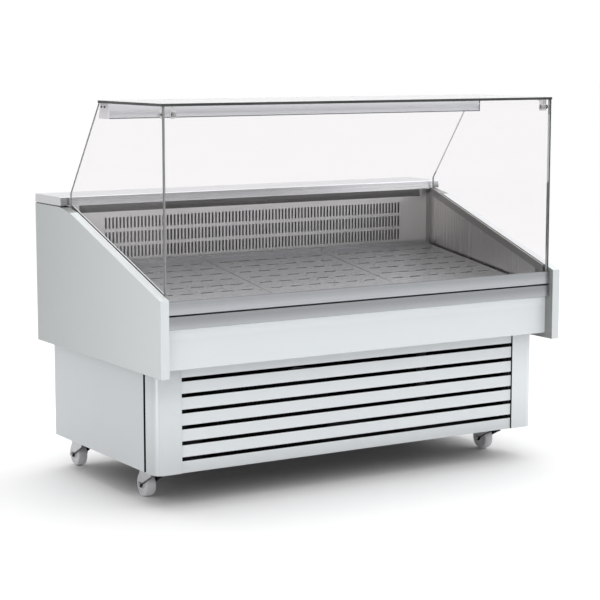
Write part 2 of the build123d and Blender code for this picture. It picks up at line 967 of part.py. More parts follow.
with BuildPart() as condenser_motor:
    with BuildSketch(Plane.XZ.offset(-motor_front)):
        with Locations((condenser_x, condenser_z)):
            Circle(condenser_motor_dia / 2)
    extrude(amount=-condenser_motor_length)
    with BuildSketch(Plane.XZ.offset(-condenser_hub)):
        with Locations((condenser_x, condenser_z)):
            Circle(fan_spindle / 2)
    extrude(amount=condenser_hub - motor_front)
    with BuildSketch(Plane.XZ.offset(-motor_back)):
        with Locations((condenser_x, base_floor_top)):
            Rectangle(
                bracket_width,
                condenser_z + bracket_width / 2 - base_floor_top,
                align=(Align.CENTER, Align.MIN),
            )
    extrude(amount=-bracket_thick)
    with BuildSketch(Plane.XY.offset(base_floor_top)):
        with Locations((condenser_x, motor_back)):
            Rectangle(bracket_width, bracket_foot, align=(Align.CENTER, Align.MIN))
    extrude(amount=bracket_thick)
save(condenser_motor.part, "condenser_motor")

compressor_y = base_front + compressor_setback
shell_r = compressor_dia / 2
shell_z = base_floor_top + compressor_foot_thick

with BuildPart() as compressor:
    with BuildSketch(Plane.XY.offset(shell_z)):
        with Locations((compressor_x, compressor_y)):
            Circle(shell_r)
    extrude(amount=compressor_height)
    fillet(compressor.edges().sort_by(Axis.Z)[-1], shell_crown)
    fillet(compressor.edges().sort_by(Axis.Z)[0], shell_round)
    with BuildSketch(Plane.XY.offset(base_floor_top)):
        with Locations((compressor_x, compressor_y)):
            RectangleRounded(compressor_foot, compressor_foot, compressor_foot_round)
    extrude(amount=compressor_foot_thick)
save(compressor.part, "compressor")

with BuildPart() as drip_tray:
    with BuildSketch(Plane.XY.offset(base_floor_top)):
        with Locations((drain_x, drain_y)):
            Rectangle(tray_length, tray_depth)
    extrude(amount=tray_height)
    offset(amount=-sheet, openings=drip_tray.faces().sort_by(Axis.Z)[-1])
save(drip_tray.part, "drip_tray")

# Operator's panel in the back wall, with a rocker switch
rocker_x = control_x - rocker_offset
rocker_y = control_face - rocker_sink
rocker_reach = rocker_radius + rocker_play

with BuildPart() as control_panel:
    with BuildSketch(Plane.XZ.offset(-control_face)):
        with Locations((control_x, control_z)):
            Rectangle(control_width - 2 * control_play, control_height - 2 * control_play)
    extrude(amount=control_depth)
    with BuildSketch(Plane.XZ.offset(-control_face)):
        with Locations((rocker_x, control_z)):
            Rectangle(rocker_width + 2 * rocker_play, 2 * rocker_reach)
    extrude(amount=rocker_sink + rocker_reach, mode=Mode.SUBTRACT)
    with BuildSketch(Plane.XZ.offset(-control_face)):
        with Locations((control_x + rocker_offset / 2, control_z)):
            Rectangle(display_width, display_height)
    extrude(amount=display_sink, mode=Mode.SUBTRACT)
save(control_panel.part, "control_panel")

with BuildPart() as rocker_main:
    lean = radians(-rocker_throw / 2)
    pivot = Plane((rocker_x - rocker_width / 2, rocker_y, control_z), (0, cos(lean), sin(lean)), (1, 0, 0))
    brow = rocker_radius * tan(radians(rocker_throw * rocker_brow))
    with BuildSketch(pivot):
        Circle(rocker_radius)
        with BuildLine():
            Polyline(
                (rocker_crest, 0),
                (rocker_crest - brow, rocker_radius),
                (rocker_radius, rocker_radius),
                (rocker_radius, -rocker_radius),
                (rocker_crest - brow, -rocker_radius),
                close=True,
            )
        make_face(mode=Mode.SUBTRACT)
    extrude(amount=rocker_width)
save(rocker_main.part, "rocker_main")

# Casters: a top plate with its race and king pin, a fork that swivels on it and a wheel
fork_top = base_bottom - plate_thick - race_height - fit
fork_inner = hub_length / 2 + fit
fork_outer = fork_inner + fork_sheet
king_end = fork_top - fork_sheet - fit - king_nut
bore_r = axle_dia / 2 + axle_play
tread_half = wheel_width / 2 - wheel_round
shoulder_r = wheel_r - wheel_crown
crown_r = (tread_half**2 + wheel_crown**2) / (2 * wheel_crown)
caster_x = inside - caster_side_inset
caster_spots = {
    "front_left": (-caster_x, base_front + caster_front_inset),
    "front_right": (caster_x, base_front + caster_front_inset),
    "rear_left": (-caster_x, base_rear - caster_rear_inset),
    "rear_right": (caster_x, base_rear - caster_rear_inset),
}

with BuildPart() as caster_plates:
    for spot in caster_spots.values():
        with BuildSketch(Plane.XY.offset(base_bottom)):
            with Locations(spot):
                RectangleRounded(plate_width, plate_length, plate_round)
        extrude(amount=-plate_thick)
        for top, dia, drop in (
            (base_bottom - plate_thick, race_dia, race_height),
            (base_bottom - plate_thick, king_dia, base_bottom - plate_thick - king_end),
            (king_end + king_nut, king_nut_dia, king_nut),
        ):
            with BuildSketch(Plane.XY.offset(top)):
                with Locations(spot):
                    Circle(dia / 2)
            extrude(amount=-drop)
save(caster_plates.part, "caster_plates")

turn = radians(swivel_rest)
for name, (x, y) in caster_spots.items():
    head = Plane((x, y, 0), (cos(turn), -sin(turn), 0), (0, 0, 1))
    hub = head.origin + head.y_dir * swivel_trail + head.z_dir * wheel_r
    with BuildPart() as fork:
        with BuildSketch(Plane(head.origin - head.x_dir * fork_outer, head.y_dir, head.x_dir)):
            skirt_end = (-fork_front, fork_top - fork_skirt)
            with BuildLine():
                RadiusArc((swivel_trail - fork_lobe, wheel_r), skirt_end, -fork_arch)
                Polyline(
                    skirt_end,
                    (-fork_front, fork_top),
                    (fork_back, fork_top),
                    (swivel_trail + fork_lobe, wheel_r),
                )
                CenterArc((swivel_trail, wheel_r), fork_lobe, 180, 180)
            make_face()
        extrude(amount=2 * fork_outer)
        top_edges = fork.edges().filter_by(Axis(head.origin, head.y_dir)).group_by(Axis.Z)[-1]
        fillet(top_edges, fork_sheet + fork_bend)
        with BuildSketch(Plane(head.origin - head.y_dir * fork_front, head.x_dir, head.y_dir)):
            Rectangle(2 * fork_inner, fork_top - fork_sheet, align=(Align.CENTER, Align.MAX))
            fillet(vertices().group_by(Axis.Z)[-1], fork_bend)
        extrude(amount=fork_front + swivel_trail + fork_lobe, mode=Mode.SUBTRACT)
        with BuildSketch(head.offset(fork_top)):
            Circle(king_dia / 2 + axle_play)
        extrude(amount=-fork_sheet, mode=Mode.SUBTRACT)
        for start, dia, reach in (
            (-fork_outer - axle_head, axle_head_dia, axle_head),
            (-fork_outer, axle_dia, 2 * fork_outer),
            (fork_outer, axle_head_dia, axle_head),
        ):
            with BuildSketch(Plane(hub + head.x_dir * start, head.y_dir, head.x_dir)):
                Circle(dia / 2)
            extrude(amount=reach)
    save(fork.part, f"caster_fork_{name}")

    with BuildPart() as wheel:
        with BuildSketch(Plane(hub, head.x_dir, -head.y_dir)):
            with BuildLine():
                Polyline(
                    (0, wheel_r),
                    (0, bore_r),
                    (hub_length / 2, bore_r),
                    (hub_length / 2, hub_dia / 2),
                    (web_half, hub_dia / 2),
                    (web_half, rim_r),
                    (wheel_width / 2, rim_r),
                    (wheel_width / 2, shoulder_r - wheel_round),
                )
                RadiusArc(
                    (wheel_width / 2, shoulder_r - wheel_round), (tread_half, shoulder_r), -wheel_round
                )
                RadiusArc((tread_half, shoulder_r), (0, wheel_r), -crown_r)
            make_face()
            mirror(about=Plane.YZ)
        revolve(axis=Axis(hub, head.x_dir))
    save(wheel.part, f"caster_wheel_{name}")
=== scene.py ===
import math

import bmesh
import bpy
from mathutils import Matrix, Vector


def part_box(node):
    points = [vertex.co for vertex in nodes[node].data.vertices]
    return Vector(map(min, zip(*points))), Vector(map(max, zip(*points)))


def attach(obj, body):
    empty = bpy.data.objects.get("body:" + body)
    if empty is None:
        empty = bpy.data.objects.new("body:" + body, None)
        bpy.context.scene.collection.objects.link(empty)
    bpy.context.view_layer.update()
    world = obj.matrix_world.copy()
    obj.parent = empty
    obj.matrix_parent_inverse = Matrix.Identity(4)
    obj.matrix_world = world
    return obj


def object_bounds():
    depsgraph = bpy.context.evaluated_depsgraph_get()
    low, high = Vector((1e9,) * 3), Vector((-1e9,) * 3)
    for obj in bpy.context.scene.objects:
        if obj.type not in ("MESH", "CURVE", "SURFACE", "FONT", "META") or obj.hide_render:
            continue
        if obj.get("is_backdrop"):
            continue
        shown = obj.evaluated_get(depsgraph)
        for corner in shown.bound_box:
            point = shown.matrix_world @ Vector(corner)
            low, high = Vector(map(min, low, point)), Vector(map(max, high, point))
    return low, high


# Looks of a refrigerated fish counter, in metres and in the frame of the model.

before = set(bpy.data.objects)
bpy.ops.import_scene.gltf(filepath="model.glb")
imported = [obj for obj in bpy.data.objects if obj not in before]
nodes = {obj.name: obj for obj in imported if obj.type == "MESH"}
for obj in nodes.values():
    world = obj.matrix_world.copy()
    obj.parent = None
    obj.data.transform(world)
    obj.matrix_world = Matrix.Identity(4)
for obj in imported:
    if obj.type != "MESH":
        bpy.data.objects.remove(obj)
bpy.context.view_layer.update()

corners = ("front_left", "front_right", "rear_left", "rear_right")
trays = ("left", "middle", "right")


# Colours

def shade(colour, share):
    """A colour made lighter or darker."""
    return tuple(channel * share for channel in colour)


white = (0.745, 0.780, 0.800)
# Base of the painted shade on the outer faces of the side panels
plain_white = (0.745, 0.780, 0.783)
# Painted shade on the sloped tops of the side panels
painted_slope_shade = (0.675, 0.70, 0.708)
# Painted shade: a darker copy of the white for the rear sheets
rear_painted_shade_white = shade(white, 0.88)
cap_white = (0.90, 0.90, 0.935)
steel = (0.50, 0.507, 0.520)
cool_steel = (0.492, 0.507, 0.530)
wall_steel = (0.508, 0.509, 0.506)
liner_grey = (0.518, 0.509, 0.493)
fork_grey = (0.56, 0.56, 0.58)
# Painted shade on the forks
fork_painted_shade = (0.045, 0.045, 0.047)
# Grey painted shade on the side panels
grey_painted_shade = (0.27, 0.28, 0.27)
# Near-black painted shade, for gaps, recesses and undersides where shade falls
painted_shade_black = (0.012, 0.012, 0.013)
# Painted shade on the right lamp cap
cap_painted_shade = (0.16, 0.165, 0.17)
edge_green = (0.93, 1.0, 0.96)
pane_tint = (0.931, 0.914, 0.923)
top_tint = (0.95, 0.95, 0.95)
clear_tint = (1.0, 1.0, 1.0)
light_through_glass = (0.93, 0.95, 0.94)


# Places on the model

worktop_low, worktop_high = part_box("worktop")
grille_low, grille_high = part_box("air_grille")
lamp_low, lamp_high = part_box("lamp_housing")
trim_low, trim_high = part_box("worktop_trim")
slats_low, slats_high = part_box("louvre_slats")
post_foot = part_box("corner_post_left")[0][2]

# Side panels: the rear end of the slope, where grey painted shade on their top begins, and how far before
# the worktop the near-black painted shadow on their top begins
slope_end = 0.178
painted_shadow_before_worktop = 0.0015

# Grille: the width of the painted shade in the corner at each end
corner_shade_width = 0.0165

# Slats: the gap from their ends to the edge of the near-black painted shade on the posts, and the heights
# over their foot where the painted shade on the lowest fades out
slat_end_gap = 0.0013
slat_shade_full_height = 0.010
slat_shade_end_height = 0.055

# Lip of the worktop: where along the length its painted light grows brighter
lip_dim_end = 0.05
lip_bright_start = 0.50

# Forks: the round end about the axle, half the room between the legs, the slope of the lower edge and the
# width of the painted shade along it
fork_lobe = 0.011
fork_inner = 0.0183
fork_lean = math.radians(27.065)
fork_edge_dark = 0.003
fork_edge_clear = 0.006

# Casters at rest: their turn, the way they trail, the way of their axles and the middle of their wheels
swivel_turn = math.radians(2)
trailing = Vector((math.sin(swivel_turn), math.cos(swivel_turn), 0))
along_axle = Vector((math.cos(swivel_turn), -math.sin(swivel_turn), 0))
fork_rise = trailing * math.sin(fork_lean) + Vector((0, 0, math.cos(fork_lean)))
hubs = {}
for corner in corners:
    low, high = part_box(f"caster_wheel_{corner}")
    hubs[corner] = (Vector(low) + Vector(high)) / 2


# Shader building blocks

# Width over which a mask fades out
soft_edge = 0.0005

# Share of the normal along an axis from which a surface begins to look that way, and looks that way in full
facing_start = 0.45
facing_end = 0.55


def new_material(name):
    """A material, its node tree and its main shader."""
    made = bpy.data.materials.new(name)
    made.use_nodes = True
    tree = made.node_tree
    return made, tree, tree.nodes["Principled BSDF"]


def opened(made):
    """The node tree of a material, the colour input of its main shader and the colour that feeds it."""
    tree = made.node_tree
    surface = tree.nodes["Principled BSDF"].inputs["Base Color"]
    return tree, surface, surface.links[0].from_socket


def feed(tree, value, socket):
    """Give an input the output of a node, a plain colour or a plain number."""
    if isinstance(value, bpy.types.NodeSocket):
        tree.links.new(value, socket)
    elif isinstance(value, tuple):
        socket.default_value = (*value, 1)
    else:
        socket.default_value = value


def places(tree, scale=(1, 1, 1)):
    """Coordinates in the frame of the model, stretched along each axis."""
    coordinate = tree.nodes.new("ShaderNodeTexCoord")
    mapping = tree.nodes.new("ShaderNodeMapping")
    mapping.inputs["Scale"].default_value = scale
    tree.links.new(coordinate.outputs["Object"], mapping.inputs["Vector"])
    return mapping.outputs["Vector"]


def noise(tree, vector, scale, detail=3):
    """Cloudy values about one half."""
    node = tree.nodes.new("ShaderNodeTexNoise")
    node.inputs["Scale"].default_value = scale
    node.inputs["Detail"].default_value = detail
    tree.links.new(vector, node.inputs["Vector"])
    return node.outputs["Fac"]


def spread(tree, value, low, high, start=0.3, end=0.7):
    """A value carried from the range start..end to the range low..high."""
    node = tree.nodes.new("ShaderNodeMapRange")
    tree.links.new(value, node.inputs["Value"])
    node.inputs["From Min"].default_value = start
    node.inputs["From Max"].default_value = end
    node.inputs["To Min"].default_value = low
    node.inputs["To Max"].default_value = high
    return node.outputs["Result"]


def rising(tree, value, start, end):
    """Zero up to a start and one from an end on."""
    return spread(tree, value, 0, 1, start, end)


def falling(tree, value, start, end):
    """One up to a start and zero from an end on."""
    return spread(tree, value, 1, 0, start, end)


def computed(tree, operation, *values):
    """The result of a math node."""
    node = tree.nodes.new("ShaderNodeMath")
    node.operation = operation
    for value, socket in zip(values, node.inputs):
        feed(tree, value, socket)
    return node.outputs["Value"]


def either(tree, first, second):
    """The greater of two masks."""
    return computed(tree, "MAXIMUM", first, second)


def both(tree, first, second):
    """Where two masks meet."""
    return computed(tree, "MULTIPLY", first, second)


def mixed(tree, factor, first, second, blend="MIX"):
    """A colour between two colours, each of them plain or made by a node."""
    node = tree.nodes.new("ShaderNodeMix")
    node.data_type = "RGBA"
    node.blend_type = blend
    tree.links.new(factor, node.inputs["Factor"])
    feed(tree, first, node.inputs["A"])
    feed(tree, second, node.inputs["B"])
    return node.outputs["Result"]


def clouded(tree, clouds, colour, dark, light):
    """A colour that varies with a cloudy value from a dark to a light share of it."""
    return mixed(tree, clouds, shade(colour, dark), shade(colour, light))


def relief(tree, shader, height, strength, distance):
    """Fine relief on a surface."""
    node = tree.nodes.new("ShaderNodeBump")
    node.inputs["Strength"].default_value = strength
    node.inputs["Distance"].default_value = distance
    tree.links.new(height, node.inputs["Height"])
    tree.links.new(node.outputs["Normal"], shader.inputs["Normal"])


def vary_roughness(tree, shader, value, middle, less, more):
    """Let the roughness of a shader vary about a middle with a cloudy value."""
    tree.links.new(spread(tree, value, middle - less, middle + more), shader.inputs["Roughness"])


def along_axis(tree, axis):
    """Place along one axis of the model."""
    split = tree.nodes.new("ShaderNodeSeparateXYZ")
    tree.links.new(places(tree), split.inputs["Vector"])
    return split.outputs[axis]


def beyond(tree, axis, limit):
    """One where a place along an axis is past a limit, and zero before it."""
    return rising(tree, along_axis(tree, axis), limit - soft_edge, limit)


def within(tree, axis, limit):
    """One where a place is nearer to the middle of the model than a limit, and zero beyond it."""
    away = computed(tree, "ABSOLUTE", along_axis(tree, axis))
    return falling(tree, away, limit - soft_edge, limit)


def offset_along(tree, direction, start):
    """Distance along a direction from a starting place."""
    node = tree.nodes.new("ShaderNodeVectorMath")
    node.operation = "DOT_PRODUCT"
    tree.links.new(places(tree), node.inputs[0])
    node.inputs[1].default_value = direction
    return computed(tree, "SUBTRACT", node.outputs["Value"], direction.dot(start))


def looking(tree, *directions):
    """One where a surface looks along one of the directions, such as "+X" or "-Z", and zero elsewhere."""
    coordinate = tree.nodes.new("ShaderNodeTexCoord")
    split = tree.nodes.new("ShaderNodeSeparateXYZ")
    tree.links.new(coordinate.outputs["Normal"], split.inputs["Vector"])
    found = None
    for sign, axis in directions:
        way = 1 if sign == "+" else -1
        seen = rising(tree, split.outputs[axis], way * facing_start, way * facing_end)
        found = seen if found is None else either(tree, found, seen)
    return found


def top_behind(tree, limit):
    """One on the upper faces behind a limit, and zero elsewhere."""
    return both(tree, looking(tree, "+Z"), beyond(tree, "Y", limit))


def graded(tree, coat, steps, directions=("-Y",)):
    """A colour graded by height on some sides: a step is a height and the share there, lowest first."""
    heights, shares = zip(*steps)
    bottom = heights[0]
    top = heights[-1]
    ramp = tree.nodes.new("ShaderNodeValToRGB")
    tree.links.new(rising(tree, along_axis(tree, "Z"), bottom, top), ramp.inputs["Fac"])
    stops = ramp.color_ramp.elements
    for height in heights[1:-1]:
        stops.new((height - bottom) / (top - bottom))
    for stop, share in zip(stops, shares):
        stop.color = (share, share, share, 1)
    return mixed(tree, looking(tree, *directions), coat, ramp.outputs["Color"], "MULTIPLY")


def regrade(made, steps, directions=("-Y",)):
    """Grade the front faces of a material, or other sides, by height."""
    tree, surface, coat = opened(made)
    tree.links.new(graded(tree, coat, steps, directions), surface)
    return made


def counted_from(level, *steps):
    """Steps of a grade whose heights are counted from a level, upwards or downwards."""
    return [(level + height, share) for height, share in steps]


def apply_side_shade(tree, coat, colour, painted_side_shade):
    """A coat with painted shade on some sides: a share of the colour for each group of sides."""
    for directions, share in (painted_side_shade or {}).items():
        coat = mixed(tree, looking(tree, *directions), coat, shade(colour, share))
    return coat


# Paint

paint_roughness = 0.36
coat_shine = 0.5
# Specular level under the near-black painted shade
painted_shade_shine = 0.02
# Shares of the colour for painted shade: on the outer faces of the side panels from front to rear, on the
# outer faces of the base sides and of the corner posts, and on the lowest slat
outer_front_share = 0.82
outer_rear_share = 0.55
base_outer_share = 0.77
post_outer_share = 0.885
lowest_slat_share = 0.80


def painted(name, colour, roughness=paint_roughness, painted_shade_sides=(), painted_shade_middle=None, painted_side_shade=None):
    """Powder coat with a fine orange peel; some sides may carry painted shade, and some sides and a middle
    may be painted near-black shade with little shine.
    """
    made, tree, shader = new_material(name)
    clouds = noise(tree, places(tree), scale=2.5)
    coat = apply_side_shade(tree, clouded(tree, clouds, colour, dark=0.97, light=1), colour, painted_side_shade)
    # Painted shade: sides and a middle where shade falls are painted near-black, with little shine
    if painted_shade_sides:
        painted_shade_mask = looking(tree, *painted_shade_sides)
        if painted_shade_middle:
            painted_shade_mask = either(tree, painted_shade_mask, within(tree, "X", painted_shade_middle))
        coat = mixed(tree, painted_shade_mask, coat, painted_shade_black)
        shine = spread(tree, painted_shade_mask, coat_shine, painted_shade_shine, start=0, end=1)
        tree.links.new(shine, shader.inputs["Specular IOR Level"])
    tree.links.new(coat, shader.inputs["Base Color"])
    vary_roughness(tree, shader, noise(tree, places(tree), scale=35), roughness, less=0.04, more=0.04)
    orange_peel = noise(tree, places(tree), scale=700, detail=2)
    relief(tree, shader, orange_peel, strength=0.06, distance=0.0002)
    return made


def side_board(name, outward, inward, end_share, slope):
    """Coated side panel with painted shade: darker tones on its sloped top and front end, an outer face
    that darkens to the rear, grey on its inner face, underside and top under the worktop lip, and
    near-black on its top under the worktop.
    """
    made = painted(name, white)
    tree, surface, coat = opened(made)
    # Painted shade: darker tones on the sloped top and the front end, a darkening to the rear on the outer
    # face, grey on the inner face, underside and top under the worktop lip, and near-black on the top under
    # the worktop
    coat = mixed(tree, looking(tree, "+Z"), coat, slope)
    coat = mixed(tree, looking(tree, "-Y"), coat, shade(white, end_share))
    low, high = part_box("side_panel_left")
    toward_rear = rising(tree, along_axis(tree, "Y"), low[1], high[1])
    front_tone = shade(plain_white, outer_front_share)
    rear_tone = shade(plain_white, outer_rear_share)
    coat = mixed(tree, looking(tree, outward), coat, mixed(tree, toward_rear, front_tone, rear_tone))
    coat = mixed(tree, looking(tree, inward, "-Z"), coat, grey_painted_shade)
    coat = mixed(tree, top_behind(tree, slope_end), coat, grey_painted_shade)
    coat = mixed(tree, top_behind(tree, worktop_low[1] - painted_shadow_before_worktop), coat, painted_shade_black)
    tree.links.new(coat, surface)
    return made


def slat_sheet(name):
    """Coated slats, painted near-black shade behind, above and below; the lowest has painted shade near the
    floor.
    """
    made = painted(name, white, painted_shade_sides=("+Y", "+Z", "-Z"))
    tree, surface, coat = opened(made)
    # Painted shade on the front of the lowest slat, near the floor
    foot = slats_low[2]
    lowest = falling(tree, along_axis(tree, "Z"), foot + slat_shade_full_height, foot + slat_shade_end_height)
    front = both(tree, lowest, looking(tree, "-Y"))
    tree.links.new(mixed(tree, front, coat, shade(white, lowest_slat_share)), surface)
    return made


# Metal

# Hair lines of brushed sheet: how fine they are across and along, and how much coarser its clouding is
hairs_across = 900.0
hairs_along = 3.0
cloud_share = 0.1


def brushed(name, colour, along, roughness, painted_side_shade=None, metallic=1.0):
    """Brushed sheet: hair lines along one axis over a soft clouding; some sides may carry painted shade."""
    made, tree, shader = new_material(name)
    stretch = [hairs_across, hairs_across, hairs_across]
    stretch["XYZ".index(along)] = hairs_along
    lines = noise(tree, places(tree, stretch), scale=1, detail=4)
    clouds = noise(tree, places(tree, [fineness * cloud_share for fineness in stretch]), scale=1)
    sheet = clouded(tree, clouds, colour, dark=0.97, light=1.02)
    tree.links.new(apply_side_shade(tree, sheet, colour, painted_side_shade), shader.inputs["Base Color"])
    vary_roughness(tree, shader, lines, roughness, less=0.06, more=0.08)
    shader.inputs["Metallic"].default_value = metallic
    relief(tree, shader, lines, strength=0.05, distance=0.0002)
    return made


def worktop_sheet(name):
    """Brushed worktop with painted shade on its ends and underside, and painted light on its front lip that
    brightens to the right.

    The lip has other tones of painted light and shade where it hangs over, beyond the ends of the grille.
    """
    made = brushed(
        name, shade(steel, 1.75), along="X", roughness=0.28, metallic=0.84,
        painted_side_shade={("-Z",): 0.05, ("+X", "-X"): 0.62},
    )
    tree, surface, coat = opened(made)
    # Painted light and shade on the front lip
    toward_right = rising(tree, along_axis(tree, "X"), lip_dim_end, lip_bright_start)
    upward = rising(tree, along_axis(tree, "Z"), worktop_low[2], worktop_high[2])

    def along_lip(left, right):
        """Painted light on the lip, from a left share to a right share."""
        return mixed(tree, toward_right, shade(steel, left), shade(steel, right))

    lip = mixed(tree, upward, along_lip(left=1.40, right=1.98), along_lip(left=1.02, right=1.90))
    overhang = mixed(tree, upward, along_lip(left=0.62, right=0.20), along_lip(left=0.90, right=1.90))
    lip = mixed(tree, within(tree, "X", grille_high[0]), overhang, lip)
    tree.links.new(mixed(tree, looking(tree, "-Y"), coat, lip), surface)
    return made


def grille_sheet(name):
    """Brushed rear wall with painted shade in its corners."""
    made = brushed(name, shade(wall_steel, 1.18), along="X", roughness=0.36)
    tree, surface, coat = opened(made)
    wall = within(tree, "X", grille_high[0] - corner_shade_width)
    tree.links.new(mixed(tree, wall, shade(wall_steel, 0.62), coat), surface)
    return made


def plated(name, colour, roughness, painted_side_shade=None):
    """Zinc plating with a faint spangle; some sides may carry painted shade."""
    made, tree, shader = new_material(name)
    spangle = noise(tree, places(tree), scale=120, detail=4)
    coat = clouded(tree, spangle, colour, dark=0.88, light=1.06)
    tree.links.new(apply_side_shade(tree, coat, colour, painted_side_shade), shader.inputs["Base Color"])
    vary_roughness(tree, shader, spangle, roughness, less=0.05, more=0.09)
    shader.inputs["Metallic"].default_value = 0.85
    grain = noise(tree, places(tree), scale=900, detail=2)
    relief(tree, shader, grain, strength=0.04, distance=0.0001)
    return made


def fork_plate(name, hub):
    """Plated fork with painted shade between its legs, below and along the lower edge that arches over the
    wheel.
    """
    made = plated(name, fork_grey, roughness=0.42, painted_side_shade={("-Z",): 0.08})
    tree, surface, coat = opened(made)
    over_edge = offset_along(tree, fork_rise, hub - trailing * fork_lobe)
    coat = mixed(tree, falling(tree, over_edge, fork_edge_dark, fork_edge_clear), coat, fork_painted_shade)
    from_middle = computed(tree, "ABSOLUTE", offset_along(tree, along_axle, hub))
    between = falling(tree, from_middle, fork_inner + soft_edge, fork_inner + 2 * soft_edge)
    tree.links.new(mixed(tree, between, coat, fork_painted_shade), surface)
    return made


# Plastic, rubber and glass

pane_index = 1.12
pane_smear = 0.01


def moulded(name, colour, roughness):
    """Moulded plastic or rubber with a fine grain."""
    made, tree, shader = new_material(name)
    clouds = noise(tree, places(tree), scale=30)
    coat = clouded(tree, clouds, colour, dark=0.92, light=1.04)
    tree.links.new(coat, shader.inputs["Base Color"])
    grain = noise(tree, places(tree), scale=1400, detail=2)
    vary_roughness(tree, shader, grain, roughness, less=0.05, more=0.06)
    relief(tree, shader, grain, strength=0.10, distance=0.0001)
    return made


def trim_strip(name, lower, upper):
    """Moulded strip with painted shade, darker towards the bottom."""
    made = moulded(name, lower, roughness=0.7)
    tree, surface, coat = opened(made)
    upward = rising(tree, along_axis(tree, "Z"), trim_low[2], trim_high[2])
    tree.links.new(mixed(tree, upward, coat, upper), surface)
    return made


def end_cap(name):
    """Moulded lamp caps; the right one has painted shade on its front edge."""
    made = moulded(name, cap_white, roughness=0.42)
    tree, surface, coat = opened(made)
    rim = both(tree, beyond(tree, "X", lamp_high[0]), looking(tree, "-Y"))
    tree.links.new(mixed(tree, rim, coat, cap_painted_shade), surface)
    return made


def opal(name):
    """Milky lens."""
    made, tree, shader = new_material(name)
    clouds = noise(tree, places(tree), scale=12)
    milk = mixed(tree, clouds, (0.74, 0.75, 0.76), (0.80, 0.81, 0.82))
    tree.links.new(milk, shader.inputs["Base Color"])
    vary_roughness(tree, shader, clouds, middle=0.36, less=0.04, more=0.04)
    shader.inputs["Subsurface Weight"].default_value = 0.3
    shader.inputs["Subsurface Radius"].default_value = (0.004, 0.004, 0.004)
    return made


def float_glass(name, through, tint, edge_low, edge_high, front_edge=None):
    """Glass, clear through its faces and grey green along its cut edges; the front edge may be graded by
    height, as painted reflection.
    """
    made, tree, shader = new_material(name)
    shader.inputs["Base Color"].default_value = (*tint, 1)
    shader.inputs["Transmission Weight"].default_value = 1
    shader.inputs["IOR"].default_value = pane_index
    smear = noise(tree, places(tree), scale=6)
    tree.links.new(spread(tree, smear, 0.0, pane_smear), shader.inputs["Roughness"])

    open_to_light = tree.nodes.new("ShaderNodeBsdfTransparent")
    open_to_light.inputs["Color"].default_value = (*light_through_glass, 1)
    rays = tree.nodes.new("ShaderNodeLightPath")
    pane = tree.nodes.new("ShaderNodeMixShader")
    tree.links.new(rays.outputs["Is Shadow Ray"], pane.inputs["Fac"])
    tree.links.new(shader.outputs["BSDF"], pane.inputs[1])
    tree.links.new(open_to_light.outputs["BSDF"], pane.inputs[2])

    edge = tree.nodes.new("ShaderNodeBsdfPrincipled")
    streaks = noise(tree, places(tree), scale=9, detail=4)
    cut = clouded(tree, streaks, edge_green, dark=edge_low, light=edge_high)
    # Painted reflection: the front edge graded by height
    if front_edge:
        cut = graded(tree, mixed(tree, looking(tree, "-Y"), cut, edge_green), front_edge)
    tree.links.new(cut, edge.inputs["Base Color"])
    edge.inputs["Roughness"].default_value = 0.3
    edge.inputs["Specular IOR Level"].default_value = 0.15

    whole = tree.nodes.new("ShaderNodeMixShader")
    tree.links.new(looking(tree, "+" + through, "-" + through), whole.inputs["Fac"])
    tree.links.new(edge.outputs["BSDF"], whole.inputs[1])
    tree.links.new(pane.outputs["Shader"], whole.inputs[2])
    tree.links.new(whole.outputs["Shader"], tree.nodes["Material Output"].inputs["Surface"])
    return made


# Finish of every node

def dress(made, *names):
    """Give a material to nodes of the model."""
    for name in names:
        nodes[name].material_slots[0].material = made


liner_steel = brushed("liner_steel", shade(liner_grey, 1.27), along="Z", roughness=0.30)
fin_aluminium = brushed("fin_aluminium", (0.20, 0.20, 0.21), along="Z", roughness=0.45)


def dress_side(side, outward, inward, slope, end_share, post_grade, seat, tint, pane_edge):
    """Finish of the nodes at one end of the counter; post_grade and pane_edge are steps by height: painted
    light and shade on the corner post, and the tone of the front edge of the side glass.
    """
    dress(side_board(f"side_paint_{side}", outward, inward, end_share, slope), f"side_panel_{side}")
    # Base sides: painted shade on the outer face, and near-black painted shade on the inner side and front
    # return
    base_paint = painted(
        f"base_paint_{side}", white, painted_shade_sides=(inward, "-Y"), painted_side_shade={(outward,): base_outer_share},
    )
    dress(base_paint, f"base_side_{side}")
    # Corner posts: painted shade on the outer face, near-black painted shade on the inner side, back and
    # flange behind the slats, and painted light and shade by height
    post_paint = painted(
        f"post_paint_{side}", white, painted_shade_sides=(inward, "+Y"), painted_shade_middle=slats_high[0] + slat_end_gap,
        painted_side_shade={(outward,): post_outer_share},
    )
    dress(regrade(post_paint, post_grade, ("-Y", outward)), f"corner_post_{side}")
    dress(liner_steel, f"side_liner_{side}")
    dress(brushed(f"seat_steel_{side}", seat, along="Y", roughness=0.34), f"glass_seat_{side}")
    dress(fin_aluminium, f"evaporator_fan_{side}")
    pane = float_glass(
        f"side_glass_{side}", "X", tint, edge_low=0.12, edge_high=0.34, front_edge=pane_edge,
    )
    dress(pane, f"side_glass_{side}")


